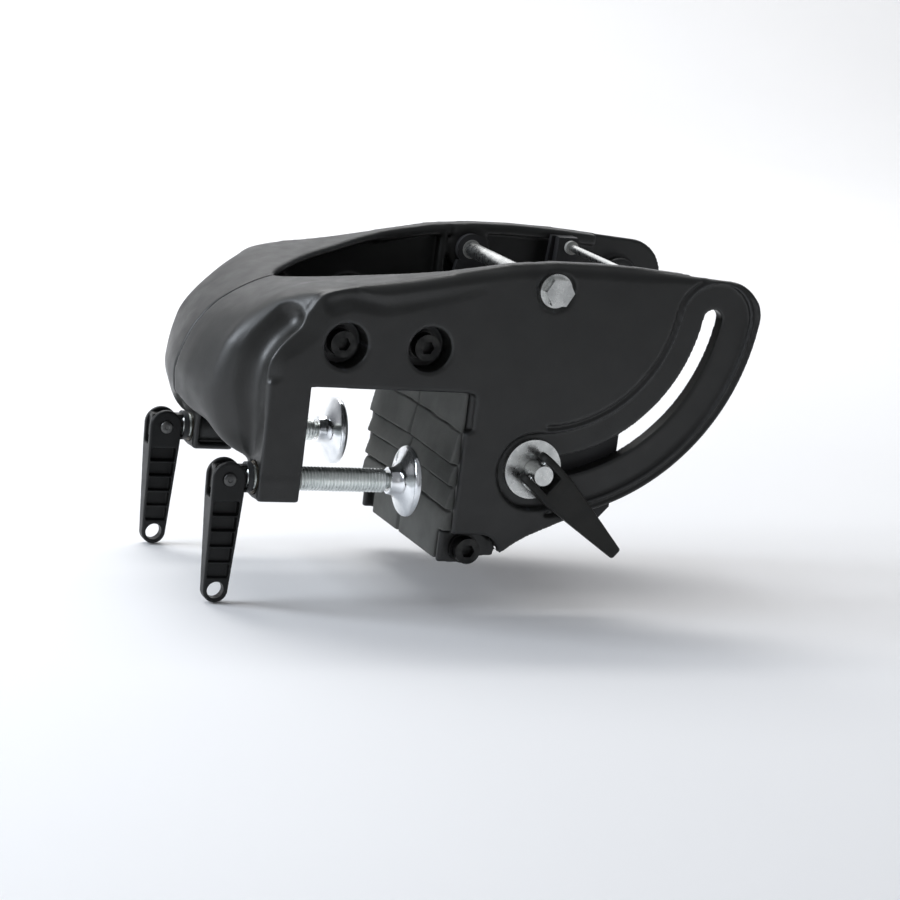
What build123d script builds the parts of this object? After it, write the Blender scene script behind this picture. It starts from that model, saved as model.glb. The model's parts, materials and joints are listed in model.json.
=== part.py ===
"""Transom clamp bracket for a small outboard motor, as an assembly of separate pieces.

The bracket hooks over a boat's transom. Two thumb screws press swivel discs against the inside of
the board, and a rubber pad bears on its outside. Between the two moulded halves a yoke carries the
motor: it tilts about the pivot bolt, and a cam lever locks it anywhere along two arc slots.

Frame: millimetres, +Z up, +X aft, +Y starboard. The origin lies on the middle plane, where the
pad's clamping face meets the underside of the bridge that rests on the transom's top edge.
"""

import os
from math import cos, radians, sin

from build123d import *

# ---------------------------------------------------------------- driving dimensions
HALF_WIDTH = 62.0
WALL = 5.0
SKIN = 4.0
FLANGE_Y = 51.0

PIVOT_X, PIVOT_Z = 43.0, 53.0
PIVOT_ROD_R = 4.0
RIM_R = 116.0
SLOT_R = 90.0
SLOT_WIDTH = 10.5
SLOT_LOW, SLOT_HIGH = -90.0, -7.0
CHANNEL_R = 91.0
CHANNEL_HALF = 19.0
CHANNEL_DEPTH = 2.5
SLOT_COLLAR = 5.0

MOUTH = 79.0
MOUTH_WALL = 83.0
BRIDGE = 4.0
PAD_THICK = 6.0
PAD_RELIEF = 0.4
PAD_TOP = -0.5
PAD_BOTTOM = -86.5
PAD_HALF = 56.7
FOOT_Z = -87.5
BAY_WALL_X = 28.0

TIE_BOLTS = ((-63.0, 21.0), (-19.5, 21.0), (13.5, -79.7))
TIE_BOLT_R = 4.0
TIE_HOLE_R = 4.25
TUBE_R = 14.0
COUNTERBORE_R = 11.0
COUNTERBORE_FLOOR = 50.0
FOOT_TUBE_R = 7.5
FOOT_POCKET_TOP = -71.2
FOOT_POCKET_FLOOR = 54.0

SCREW_Y, SCREW_Z = 52.0, -47.0
SCREW_R = 6.0
BUSH_R = 8.0
BOSS_R = 9.6
BOSS_FRONT, BOSS_REAR, BOSS_BOTTOM = -99.5, -78.0, -57.0
ARM_INNER_Y = 41.0
DISC_R = 17.5
DISC_FACE = -18.5
HANDLE_PIVOT = -113.0
HANDLE_LENGTH = 56.0
TIP_HOLE_R = 4.2
FORK_HALF, FORK_SLOT = 6.0, 3.2
RUNNING = 0.05

CHEEK_OUT, CHEEK_IN = 50.5, 47.5
LEVER_ANGLE = -40.5
LEVER_LENGTH = 62.0

SIDES = {"port": -1, "starboard": 1}


# ---------------------------------------------------------------- helpers
def slab(profile, low, high):
    """An XZ profile given thickness from y = low to y = high."""
    return extrude(Plane.XZ.offset(-high) * profile, amount=high - low)


def rod_y(x, z, radius, low, high):
    """A cylinder along Y."""
    return slab(Pos(x, z) * Circle(radius), low, high)


def rod_x(y, z, radius, low, high):
    """A cylinder along X."""
    return extrude(Plane.YZ.offset(low) * (Pos(y, z) * Circle(radius)), amount=high - low)


def hexagon_y(x, z, across_flats, low, high):
    """A hexagonal prism along Y."""
    return slab(Pos(x, z) * RegularPolygon(across_flats / 2, 6, major_radius=False), low, high)


def block(x0, x1, y0, y1, z0, z1):
    """A box between two corners."""
    return Pos((x0 + x1) / 2, (y0 + y1) / 2, (z0 + z1) / 2) * Box(x1 - x0, y1 - y0, z1 - z0)


def ring_sector(radius, half_width, start, end):
    """An arc-shaped slot about the pivot, with round ends."""
    centre = Pos(PIVOT_X, PIVOT_Z)
    band = centre * (Circle(radius + half_width) - Circle(radius - half_width))
    reach = 2 * radius
    middle = (start + end) / 2
    corners = [(0, 0)]
    for angle in (start, middle, end):
        corners.append((reach * cos(radians(angle)), reach * sin(radians(angle))))
    wedge = centre * make_face(Polyline(*corners, close=True))
    band = band & wedge
    for angle in (start, end):
        x = PIVOT_X + radius * cos(radians(angle))
        z = PIVOT_Z + radius * sin(radians(angle))
        band += Pos(x, z) * Circle(half_width)
    return band


def section(points, y):
    """A closed polygon in the plane at y, for lofting."""
    return Plane.XZ.offset(-y) * make_face(Polyline(*points, close=True))


def port_or_mirror(shape, side):
    """The port shape as it is, or its mirror image on the starboard side."""
    return shape if side < 0 else mirror(shape, about=Plane.XZ)


# ---------------------------------------------------------------- bracket halves
def side_outline():
    """The flat side plane of one half, from the clamp arm to the arc rim."""
    rim_start = -84.0
    rim_end = 3.9
    start = (
        PIVOT_X + RIM_R * cos(radians(rim_start)),
        PIVOT_Z + RIM_R * sin(radians(rim_start)),
    )
    lower = Polyline(
        (BOSS_FRONT, BOSS_BOTTOM), (BOSS_REAR, BOSS_BOTTOM), (-MOUTH, 0), (8, 0), (8, -18.5),
        (4, -20), (4, FOOT_Z), (22, FOOT_Z), start
    )
    rim = CenterArc((PIVOT_X, PIVOT_Z), RIM_R, rim_start, rim_end - rim_start)
    aft_rail = ThreePointArc((112, 64.3), (66, 66.9), (20, 64.4))
    front_rail = ThreePointArc((20, 64.4), (-30, 54.4), (-88, 47))
    corner = Line(rim @ 1, (112, 64.3))
    front = Polyline((-88, 47), (-97, 32), (-102.5, 10), (-98.5, -30), (BOSS_FRONT, BOSS_BOTTOM))
    outline = make_face(Curve() + [lower, rim, corner, aft_rail, front_rail, front])
    rounds = (
        ((-MOUTH, 0), 4.0),
        ((8, 0), 3.0),
        ((22, FOOT_Z), 12.0),
        (start, 12.0),
        (tuple(rim @ 1)[:2], 18.0),
        ((4, FOOT_Z), 3.0),
    )
    for (x, z), radius in rounds:
        vertex = outline.vertices().sort_by_distance((x, z, 0))[0]
        outline = fillet(vertex, radius)
    return outline


def foot_pocket():
    """The recess around the foot's bolt, open below and in front."""
    height = 29.6
    return Pos(6, FOOT_POCKET_TOP - height / 2) * RectangleRounded(50, height, 12)


def nose_shell():
    """The hollow nose and top deck of the port half, lofted from the middle plane outwards."""
    outer = (
        (0, [(-8, 57), (-40, 51), (-84, 42.5), (-105, 33), (-117, 19), (-125, 5),
             (-127.5, -8), (-124.5, -19), (-MOUTH, -4), (-MOUTH, 0), (-8, 0)]),
        (-36, [(-8, 58.5), (-38, 52.5), (-82, 46), (-100, 38), (-110, 24), (-118, 9),
               (-121, -6), (-119, -20), (-MOUTH, -4), (-MOUTH, 0), (-8, 0)]),
        (-48, [(-8, 59), (-36, 53.5), (-80, 47), (-94, 40), (-102, 26), (-108, 10),
               (-111, -8), (-109, -34), (-MOUTH, -30), (-MOUTH, 0), (-8, 0)]),
        (-60, [(-8, 59), (-36, 53.5), (-80, 47), (-90, 42), (-97, 30), (-101.5, 12),
               (-101, -8), (-98, -37), (-MOUTH, -34), (-MOUTH, 0), (-8, 0)]),
    )
    inner = (
        (1, [(-7, 53), (-40, 47), (-83, 38.5), (-103, 29), (-113.5, 16.5), (-121, 3.5),
             (-123.5, -8), (-121, -13.5), (-MOUTH_WALL, 0), (-MOUTH_WALL, BRIDGE), (-7, BRIDGE)]),
        (-36, [(-7, 54.5), (-38, 48.5), (-81, 42), (-98, 34.5), (-107, 22), (-114.5, 8),
               (-117, -6), (-115.5, -15), (-MOUTH_WALL, 0), (-MOUTH_WALL, BRIDGE), (-7, BRIDGE)]),
        (-46, [(-7, 55), (-36, 49.5), (-79, 43), (-91.5, 37), (-99, 24), (-104.5, 9),
               (-107, -7), (-104, -20), (-MOUTH_WALL, 0), (-MOUTH_WALL, BRIDGE), (-7, BRIDGE)]),
        (-57, [(-7, 55), (-36, 49.5), (-79, 43), (-88, 38.5), (-93.5, 28), (-97.5, 11),
               (-97, -6), (-94, -20), (-MOUTH_WALL, 0), (-MOUTH_WALL, BRIDGE), (-7, BRIDGE)]),
    )
    body = loft([section(points, y) for y, points in outer], ruled=True)
    hollow = loft([section(points, y) for y, points in inner], ruled=True)
    return body - hollow


def port_half():
    """One moulded half, built for the port side."""
    outline = side_outline()
    wall_in = HALF_WIDTH - WALL
    half = nose_shell()
    half += slab(outline, -HALF_WIDTH, -wall_in)

    # top flange, the bridge over the transom, the wall behind the pad and the foot
    rail_zone = make_face(
        Polyline((-9, 53.5), (20, 59.4), (66, 61.9), (118, 59), (118, 80), (-9, 80), close=True)
    )
    half += slab(outline & rail_zone, -wall_in, -FLANGE_Y)
    half += block(-MOUTH, PAD_THICK, -wall_in, 0, 0, BRIDGE)
    half += block(PAD_THICK, PAD_THICK + SKIN, -wall_in, 0, FOOT_Z, BRIDGE)
    half += block(PAD_THICK, 22, -wall_in, 0, FOOT_Z, FOOT_Z + SKIN)
    half += block(BAY_WALL_X, BAY_WALL_X + 3, -wall_in, 0, -80, 30)
    half += block(BAY_WALL_X, BAY_WALL_X + 3, -wall_in, -44, 30, 62)
    half += block(PAD_THICK, BAY_WALL_X + 3, -wall_in, 0, 0, BRIDGE)
    half += block(20, BAY_WALL_X + 3, -wall_in, 0, -84, -80)

    # floor of the pocket around the foot's bolt
    half += slab(outline & foot_pocket(), -wall_in, 4 - FOOT_POCKET_FLOOR)

    # clamp arm, hollowed on its inner side around the screw's boss
    half += block(BOSS_FRONT, BOSS_REAR, -HALF_WIDTH, -ARM_INNER_Y, BOSS_BOTTOM, 2)
    half -= block(BOSS_FRONT + 3, BOSS_REAR - 3, -47, 1 - ARM_INNER_Y, BOSS_BOTTOM + 3, -12)
    half += rod_x(-SCREW_Y, SCREW_Z, BOSS_R, BOSS_FRONT, BOSS_REAR)

    # tubes for the tie bolts, pivot boss and the collar that guides the lock bolt
    for x, z in TIE_BOLTS[:2]:
        half += rod_y(x, z, TUBE_R, -wall_in, 0)
    half += rod_y(*TIE_BOLTS[2], FOOT_TUBE_R, -wall_in, 0)
    half += rod_y(PIVOT_X, PIVOT_Z, 12, -wall_in, -FLANGE_Y)
    collar = ring_sector(SLOT_R, SLOT_WIDTH / 2 + SLOT_COLLAR, SLOT_LOW, SLOT_HIGH)
    half += slab(collar & outline, -wall_in, -FLANGE_Y)

    # pointed top opening between the halves
    opening = make_face(
        Polyline((-81, 0), (-68, -15), (-56, -25), (-38, -36), (-25, -43), (-12, -49),
                 (0, -FLANGE_Y), (10, -FLANGE_Y), (10, 1), (-81, 1), close=True)
    )
    half -= extrude(Plane.XY.offset(36) * opening, amount=60)

    # recesses and holes, cut last
    channel = ring_sector(CHANNEL_R, CHANNEL_HALF, SLOT_LOW, SLOT_HIGH)
    half -= slab(channel, -HALF_WIDTH - 1, CHANNEL_DEPTH - HALF_WIDTH)
    half -= slab(ring_sector(SLOT_R, SLOT_WIDTH / 2, SLOT_LOW, SLOT_HIGH), -HALF_WIDTH - 1, -45)
    half -= rod_y(PIVOT_X, PIVOT_Z, PIVOT_ROD_R + 0.15, -HALF_WIDTH - 1, -45)
    half -= rod_y(PIVOT_X, PIVOT_Z, 10, -HALF_WIDTH - 1, 1.5 - HALF_WIDTH)
    for x, z in TIE_BOLTS:
        half -= rod_y(x, z, TIE_HOLE_R, -HALF_WIDTH - 1, 1)
    for x, z in TIE_BOLTS[:2]:
        half -= rod_y(x, z, COUNTERBORE_R, -HALF_WIDTH - 1, -COUNTERBORE_FLOOR)
    half -= slab(foot_pocket(), -HALF_WIDTH - 1, -FOOT_POCKET_FLOOR)
    half -= rod_x(-SCREW_Y, SCREW_Z, BUSH_R, BOSS_FRONT - 1, BOSS_REAR + 1)
    half -= block(-PAD_RELIEF, PAD_THICK, -wall_in, 1, PAD_BOTTOM - 5, PAD_RELIEF)
    half += block(1, 8, -FOOT_POCKET_FLOOR, 4 - FOOT_POCKET_FLOOR, FOOT_Z, FOOT_POCKET_TOP)
    return half


def pad(side):
    """The rubber pad of one half, with ribbed face and two moulded studs in its back wall."""
    shape = block(0, PAD_THICK, -PAD_HALF, 0, PAD_BOTTOM, PAD_TOP)
    shape -= block(-1, 3.5, -PAD_HALF - 1, 1, -19, 1)
    for z in (-36, -47, -59):
        shape -= block(-1, 2.2, -PAD_HALF - 1, 1, z - 3, z)
    corner_y, corner_z = (49.6, -70.8) if side < 0 else (35.5, -69.0)
    shape -= block(-1, PAD_THICK + 1, -PAD_HALF - 1, -corner_y, PAD_BOTTOM - 1, corner_z)
    shape -= rod_y(*TIE_BOLTS[2], FOOT_TUBE_R, -PAD_HALF - 1, 1)
    return port_or_mirror(shape, side)


# ---------------------------------------------------------------- fasteners
def tie_bolts():
    """Socket-head bolts across both halves."""
    seats = (COUNTERBORE_FLOOR, COUNTERBORE_FLOOR, FOOT_POCKET_FLOOR)
    solids = []
    for (x, z), seat in zip(TIE_BOLTS, seats):
        under_head = -seat - 1.6
        bolt = rod_y(x, z, TIE_BOLT_R, under_head, seat + 9.5)
        bolt += rod_y(x, z, 6.5, under_head - 6, under_head)
        bolt -= hexagon_y(x, z, 6, under_head - 7, under_head - 2.5)
        solids.append(bolt)
    return Compound(solids)


def tie_washers():
    """One washer under each tie bolt's head and one under its nut."""
    seats = (COUNTERBORE_FLOOR, COUNTERBORE_FLOOR, FOOT_POCKET_FLOOR)
    solids = []
    for (x, z), seat in zip(TIE_BOLTS, seats):
        for low in (-seat - 1.6, seat):
            solids.append(rod_y(x, z, 7.6, low, low + 1.6) - rod_y(x, z, 4.2, low - 1, low + 3))
    return Compound(solids)


def tie_nuts():
    """Hexagon nuts on the starboard side."""
    seats = (COUNTERBORE_FLOOR, COUNTERBORE_FLOOR, FOOT_POCKET_FLOOR)
    solids = []
    for (x, z), seat in zip(TIE_BOLTS, seats):
        low = seat + 1.6
        solids.append(hexagon_y(x, z, 12.6, low, low + 5.6) - rod_y(x, z, TIE_BOLT_R, low - 1, low + 7))
    return Compound(solids)


def pivot_bolt():
    """The rod that the yoke swings on, with a hexagon head to port."""
    seat = 1.5 - HALF_WIDTH
    bolt = rod_y(PIVOT_X, PIVOT_Z, PIVOT_ROD_R, seat - 1.2, HALF_WIDTH + 5)
    bolt += hexagon_y(PIVOT_X, PIVOT_Z, 13, seat - 6.5, seat - 1.2)
    return bolt


def pivot_washers():
    """A washer at each end of the pivot rod."""
    solids = []
    for low in (0.3 - HALF_WIDTH, HALF_WIDTH - 1.5):
        ring = rod_y(PIVOT_X, PIVOT_Z, 8.5, low, low + 1.2)
        solids.append(ring - rod_y(PIVOT_X, PIVOT_Z, PIVOT_ROD_R, low - 1, low + 2))
    return Compound(solids)


def pivot_nut():
    """Lock nut on the pivot rod's starboard end."""
    low = HALF_WIDTH - 0.3
    nut = hexagon_y(PIVOT_X, PIVOT_Z, 13, low, low + 4.5) + rod_y(PIVOT_X, PIVOT_Z, 5.8, low, low + 6.5)
    return nut - rod_y(PIVOT_X, PIVOT_Z, PIVOT_ROD_R, low - 1, low + 8)


# ---------------------------------------------------------------- clamp screws
def thread_bush(side):
    """Flanged insert with the screw's thread, pressed into the arm's boss."""
    y = side * SCREW_Y
    bush = rod_x(y, SCREW_Z, BUSH_R, BOSS_FRONT, BOSS_REAR)
    return bush - rod_x(y, SCREW_Z, SCREW_R + RUNNING, BOSS_FRONT - 1, BOSS_REAR + 1)


def swivel_disc(side):
    """Bell-shaped pressure disc, hollow at the back for the screw's ball end."""
    points = [
        (0, 5.2), (5.4, 5.2), (5.4, 11.6), (7.2, 11.6), (7.8, 7.4), (11.0, 4.4), (DISC_R, 2.4),
        (DISC_R, 0), (0, 0),
    ]
    profile = make_face(Polyline(*points, close=True))
    disc = revolve(Plane.XZ * profile, axis=Axis.Z)
    disc = Rot(0, -90, 0) * disc
    return Pos(DISC_FACE, side * SCREW_Y, SCREW_Z) * disc


def disc_ring(side):
    """Snap ring that keeps the ball end in the disc."""
    x = DISC_FACE
    ring = rod_x(side * SCREW_Y, SCREW_Z, 5.4, x - 11.4, x - 10.2)
    return ring - rod_x(side * SCREW_Y, SCREW_Z, 4.0, x - 12, x - 9)


def spindle(side):
    """Threaded screw with a ball end, and a flat tang for the handle."""
    y = side * SCREW_Y
    pivot = HANDLE_PIVOT
    screw = rod_x(y, SCREW_Z, SCREW_R, -104.5, DISC_FACE - 12.8)
    screw += rod_x(y, SCREW_Z, 3.7, DISC_FACE - 13.5, DISC_FACE - 8.5)
    ball = Pos(DISC_FACE - 7.4, y, SCREW_Z) * Sphere(4.9)
    screw += ball & block(-40, DISC_FACE - 5.6, y - 9, y + 9, -60, -30)
    tang = block(pivot - 7, -104, y - 2.9, y + 2.9, SCREW_Z - 6, SCREW_Z + 6)
    screw += tang & rod_x(y, SCREW_Z, 6.8, -121, -100)
    return screw - rod_y(pivot, SCREW_Z, 2.5, y - 10, y + 10)


def screw_collar(side):
    """Stop collar between the handle and the boss."""
    x = -103.6
    collar = rod_x(side * SCREW_Y, SCREW_Z, 7.5, x, x + 2.5)
    return collar - rod_x(side * SCREW_Y, SCREW_Z, SCREW_R, x - 1, x + 4)


def handle(side):
    """Folding handle: a fork around the tang, ladder pockets and a tip hole, hanging down."""
    tip_z = -HANDLE_LENGTH
    outline = Circle(8.5) + Pos(0, tip_z) * Circle(6.3)
    taper = Polyline((-8.5, 0), (8.5, 0), (6.3, tip_z), (-6.3, tip_z), close=True)
    outline += make_face(taper)
    blade = slab(outline, -FORK_HALF, FORK_HALF)
    blade -= block(-10, 10, -FORK_SLOT, FORK_SLOT, -9.5, 12)
    lower = make_face(Polyline((6.1, -12), (12, -12), (12, -70), (3, -70), (3, -56), close=True))
    for sign in (-1, 1):
        wedge = extrude(Plane.YZ.offset(-12) * lower, amount=24)
        blade -= wedge if sign > 0 else mirror(wedge, about=Plane.XZ)
    for k in range(5):
        z = -11 - 7.9 * k
        width = 6.5 - 0.3 * k
        for low, high in ((-9, -1.3), (1.3, 9)):
            blade -= block(-width, width, low, high, z - 7, z)
    blade -= rod_y(0, tip_z, TIP_HOLE_R, -9, 9)
    blade -= rod_y(0, 0, 2.5 + RUNNING, -9, 9)
    return Pos(HANDLE_PIVOT, side * SCREW_Y, SCREW_Z) * blade


def handle_pin(side):
    """Riveted cross pin, fixed in the screw's tang."""
    y = side * SCREW_Y
    reach = FORK_HALF + 0.3
    pin = rod_y(HANDLE_PIVOT, SCREW_Z, 2.5, y - reach, y + reach)
    for low in (y - reach - 1.1, y + reach):
        pin += rod_y(HANDLE_PIVOT, SCREW_Z, 3.3, low, low + 1.1)
    return pin


# ---------------------------------------------------------------- tilt yoke and lock
def at_pivot(x, z):
    """A point given from the pivot axis."""
    return (PIVOT_X + x, PIVOT_Z + z)


def tilt_yoke():
    """Two cheeks joined by a front web, hung on the pivot rod, with upright ears aft."""
    points = [
        at_pivot(-9, -14), at_pivot(-9, -104), at_pivot(2, -119), at_pivot(43, -119),
        at_pivot(50, -111), at_pivot(50, -28), at_pivot(58, -8), at_pivot(58, 10),
        at_pivot(45, 10), at_pivot(43, -14), at_pivot(10, -14), at_pivot(7, -6), at_pivot(-7, -6),
    ]
    profile = make_face(Polyline(*points, close=True)) + Pos(PIVOT_X, PIVOT_Z) * Circle(8)
    yoke = None
    for low in (-CHEEK_OUT, CHEEK_IN):
        cheek = slab(profile, low, low + CHEEK_OUT - CHEEK_IN)
        yoke = cheek if yoke is None else yoke + cheek
    web_x = PIVOT_X - 9
    yoke += block(web_x, web_x + 4, -CHEEK_IN, CHEEK_IN, PIVOT_Z - 81, PIVOT_Z - 26)
    for side in (-1, 1):
        inner, outer = sorted((side * (CHEEK_IN - 5), side * CHEEK_IN))
        yoke += block(PIVOT_X + 46, PIVOT_X + 50, inner, outer, PIVOT_Z - 100, PIVOT_Z - 20)
        ear = [at_pivot(50, -28), at_pivot(58, -8), at_pivot(58, 10), at_pivot(47, 10), at_pivot(46, -28)]
        yoke += slab(make_face(Polyline(*ear, close=True)), inner, outer)
    yoke -= rod_y(PIVOT_X, PIVOT_Z, 5, -60, 60)
    yoke -= rod_y(*at_pivot(0, -SLOT_R), 5.1, -60, 60)
    yoke -= rod_y(*at_pivot(54, 5), 2.0, -60, 60)
    for y in (-25, 25):
        for z in (-40, -70):
            yoke -= rod_x(y, PIVOT_Z + z, 3.3, web_x - 1, web_x + 5)
    return yoke


def pivot_bushes():
    """Plain bushes in the yoke's two eyes, running on the pivot rod."""
    solids = []
    for low in (-CHEEK_OUT, CHEEK_IN):
        ring = rod_y(PIVOT_X, PIVOT_Z, 5, low, low + 3)
        solids.append(ring - rod_y(PIVOT_X, PIVOT_Z, PIVOT_ROD_R + RUNNING, low - 1, low + 4))
    return Compound(solids)


def yoke_cross_rod():
    """Thin steel rod across the yoke's upright ears."""
    return rod_y(*at_pivot(54, 5), 2.0, -CHEEK_OUT, CHEEK_OUT)


def rod_collars():
    """Push-on collars that keep the cross rod in place."""
    solids = []
    for low in (-CHEEK_IN + 5, CHEEK_IN - 7.5):
        ring = rod_y(*at_pivot(54, 5), 3.6, low, low + 2.5)
        solids.append(ring - rod_y(*at_pivot(54, 5), 2.0, low - 1, low + 4))
    return Compound(solids)


def spacer_tube():
    """Tube between the cheeks that takes the lock bolt's clamping force."""
    tube = rod_y(*at_pivot(0, -SLOT_R), 8, -CHEEK_IN, CHEEK_IN)
    return tube - rod_y(*at_pivot(0, -SLOT_R), 5.1, -60, 60)


LOCK_X, LOCK_Z = PIVOT_X, PIVOT_Z - SLOT_R
WASHER_LOW = HALF_WIDTH - CHANNEL_DEPTH
BARREL_Y = -HALF_WIDTH - 7.5


def lock_bolt():
    """Bolt through both slots, with a hexagon head to starboard and an eye for the cam pin."""
    bolt = rod_y(LOCK_X, LOCK_Z, 5, BARREL_Y - 5.5, WASHER_LOW + 2.1)
    bolt += hexagon_y(LOCK_X, LOCK_Z, 16.8, WASHER_LOW + 2.1, WASHER_LOW + 8)
    return bolt - cam_axis_rod(3.0, 12)


def lock_washer(side):
    """Large washer that bridges the slot."""
    low, high = sorted((side * (WASHER_LOW + 0.05), side * (WASHER_LOW + 2.05)))
    ring = rod_y(LOCK_X, LOCK_Z, 15, low, high)
    return ring - rod_y(LOCK_X, LOCK_Z, 5.1, low - 1, high + 1)


def cam_frame():
    """Plane at the cam pin: its x axis runs along the lever, its z axis along the pin."""
    along = Vector(cos(radians(LEVER_ANGLE)), 0, sin(radians(LEVER_ANGLE)))
    pin = Vector(-sin(radians(LEVER_ANGLE)), 0, cos(radians(LEVER_ANGLE)))
    return Plane(origin=(LOCK_X, BARREL_Y, LOCK_Z), x_dir=along, z_dir=pin)


def cam_axis_rod(radius, half_length):
    """A cylinder along the cam pin's axis."""
    return extrude(cam_frame() * Circle(radius), amount=half_length, both=True)


def cam_pin():
    """Cross pin that the cam lever turns on, fixed in the bolt's end."""
    return cam_axis_rod(3.0, 9.4)


def cam_lever():
    """Wedge-shaped lever: two cam cheeks beside the bolt, joined into one tapering blade."""
    frame = cam_frame()
    outward = -1 if frame.y_dir.Y > 0 else 1
    hub = extrude(frame * Circle(6.6), amount=9.2, both=True)
    blade_side = make_face(
        Polyline((0, -6 * outward), (LEVER_LENGTH, -1 * outward), (LEVER_LENGTH, 3 * outward),
                 (14, 6.6 * outward), (0, 6.6 * outward), close=True)
    )
    blade = extrude(frame * blade_side, amount=9.2, both=True)
    taper = make_face(
        Polyline((-8, -9.2), (12, -9.2), (LEVER_LENGTH, -3.2), (LEVER_LENGTH, 3.2), (12, 9.2),
                 (-8, 9.2), close=True)
    )
    plan = Plane(origin=frame.origin, x_dir=frame.x_dir, z_dir=(0, 1, 0))
    lever = (hub + blade) & extrude(plan * taper, amount=30, both=True)
    slot = make_face(Polyline((-9, -5.35), (8, -5.35), (8, 5.35), (-9, 5.35), close=True))
    lever -= extrude(plan * slot, amount=30, both=True)
    lever -= cam_axis_rod(3.0 + RUNNING, 12)
    return lever


# ---------------------------------------------------------------- write every piece
def main():
    """Build each piece and write it to its own STEP file."""
    half = port_half()
    pieces = {
        "port_half_shell": half,
        "starboard_half_shell": mirror(half, about=Plane.XZ),
        "tie_bolts": tie_bolts(),
        "tie_bolt_washers": tie_washers(),
        "tie_bolt_nuts": tie_nuts(),
        "pivot_bolt": pivot_bolt(),
        "pivot_washers": pivot_washers(),
        "pivot_nut": pivot_nut(),
        "pivot_bushes": pivot_bushes(),
        "tilt_yoke": tilt_yoke(),
        "yoke_cross_rod": yoke_cross_rod(),
        "cross_rod_collars": rod_collars(),
        "lock_spacer_tube": spacer_tube(),
        "lock_bolt": lock_bolt(),
        "cam_pin": cam_pin(),
        "cam_lever": cam_lever(),
    }
    makers = {
        "pad": pad,
        "thread_bush": thread_bush,
        "spindle": spindle,
        "swivel_disc": swivel_disc,
        "disc_snap_ring": disc_ring,
        "screw_collar": screw_collar,
        "handle": handle,
        "handle_pin": handle_pin,
        "lock_washer": lock_washer,
    }
    for side_name, side in SIDES.items():
        for piece_name, maker in makers.items():
            pieces[f"{side_name}_{piece_name}"] = maker(side)
    os.makedirs("parts", exist_ok=True)
    for name, shape in pieces.items():
        export_step(shape, f"parts/{name}.step")
        print(name, len(shape.solids()), round(shape.volume))


main()
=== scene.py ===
"""Looks for the transom clamp bracket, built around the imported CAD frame.

The moulded pieces are distance fields turned into meshes. Shape code works in millimetres in the
CAD frame (+X aft, +Y starboard, +Z up); MM turns its points into the scene's metres.
"""

import json
import math

import bpy
import numpy as np
from mathutils import Matrix, Vector

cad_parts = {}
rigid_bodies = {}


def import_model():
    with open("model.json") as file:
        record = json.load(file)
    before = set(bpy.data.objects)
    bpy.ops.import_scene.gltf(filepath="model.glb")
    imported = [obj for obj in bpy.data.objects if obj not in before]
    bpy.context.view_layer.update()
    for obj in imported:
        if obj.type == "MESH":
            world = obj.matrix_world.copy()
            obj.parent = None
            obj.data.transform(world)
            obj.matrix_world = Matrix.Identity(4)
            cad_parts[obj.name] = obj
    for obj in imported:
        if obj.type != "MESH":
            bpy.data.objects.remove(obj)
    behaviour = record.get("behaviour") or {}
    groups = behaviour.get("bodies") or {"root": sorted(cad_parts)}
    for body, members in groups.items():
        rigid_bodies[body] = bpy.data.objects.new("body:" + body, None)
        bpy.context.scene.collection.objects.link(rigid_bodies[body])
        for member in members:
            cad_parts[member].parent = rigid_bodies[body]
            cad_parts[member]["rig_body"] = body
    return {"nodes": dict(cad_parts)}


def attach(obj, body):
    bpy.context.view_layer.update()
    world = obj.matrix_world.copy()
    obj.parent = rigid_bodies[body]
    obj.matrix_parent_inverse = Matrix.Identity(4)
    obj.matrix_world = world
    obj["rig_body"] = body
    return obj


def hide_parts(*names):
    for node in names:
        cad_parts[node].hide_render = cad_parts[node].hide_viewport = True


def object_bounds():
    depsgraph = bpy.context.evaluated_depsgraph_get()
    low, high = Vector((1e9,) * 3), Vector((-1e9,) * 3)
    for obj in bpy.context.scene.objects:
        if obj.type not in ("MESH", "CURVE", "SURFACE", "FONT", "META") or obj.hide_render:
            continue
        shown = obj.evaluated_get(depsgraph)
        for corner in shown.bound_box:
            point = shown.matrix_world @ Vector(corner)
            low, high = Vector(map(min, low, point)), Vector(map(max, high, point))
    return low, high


MM = 0.001
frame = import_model()
cad_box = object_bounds()
nodes = frame["nodes"]

# ---------------------------------------------------------------- driving dimensions, mm
HALF_WIDTH = 62.0
WALL = 5.0
SKIN = 4.5
FLANGE_Y = 51.0
PIVOT_X, PIVOT_Z = 43.0, 53.0
RIM_R = 116.0
SLOT_R, SLOT_HALF = 90.0, 5.25
SLOT_LOW, SLOT_HIGH = -90.0, -7.0
CHANNEL_R, CHANNEL_HALF, CHANNEL_DEPTH = 91.0, 19.0, 2.5
MOUTH = 79.0
FOOT_Z = -87.5
SCREW_Y, SCREW_Z = 52.0, -47.0
BOSS_R, ARM_INNER_Y = 9.6, 41.0
BOSS_FRONT, BOSS_REAR, BOSS_BOTTOM = -99.5, -78.0, -57.0
FOOT_POCKET_TOP, FOOT_POCKET_FLOOR = -71.2, 54.0
TIE_BOLTS = ((-63.0, 21.0), (-19.5, 21.0), (13.5, -79.7))
TUBE_R, FOOT_TUBE_R, COUNTERBORE_R, BOLT_HOLE_R = 14.0, 7.5, 11.0, 4.25
SCREW_BORE_R = 8.0
PAD_THICK, PAD_TOP, PAD_BOTTOM, PAD_HALF = 6.0, -0.5, -86.5, 56.7
DISC_FACE = -18.5
HANDLE_PIVOT, HANDLE_LENGTH = -113.0, 56.0
FORK_HALF, FORK_SLOT, TIP_HOLE_R = 6.0, 3.2, 4.2
THREAD_R, THREAD_PITCH, BALL_R = 6.0, 1.75, 4.85
LEVER_ANGLE, LEVER_LENGTH, BARREL_Y = -40.5, 62.0, -69.5
SHELL_STEP = 1.0

SIDES = {"port": -1, "starboard": 1}


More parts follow.
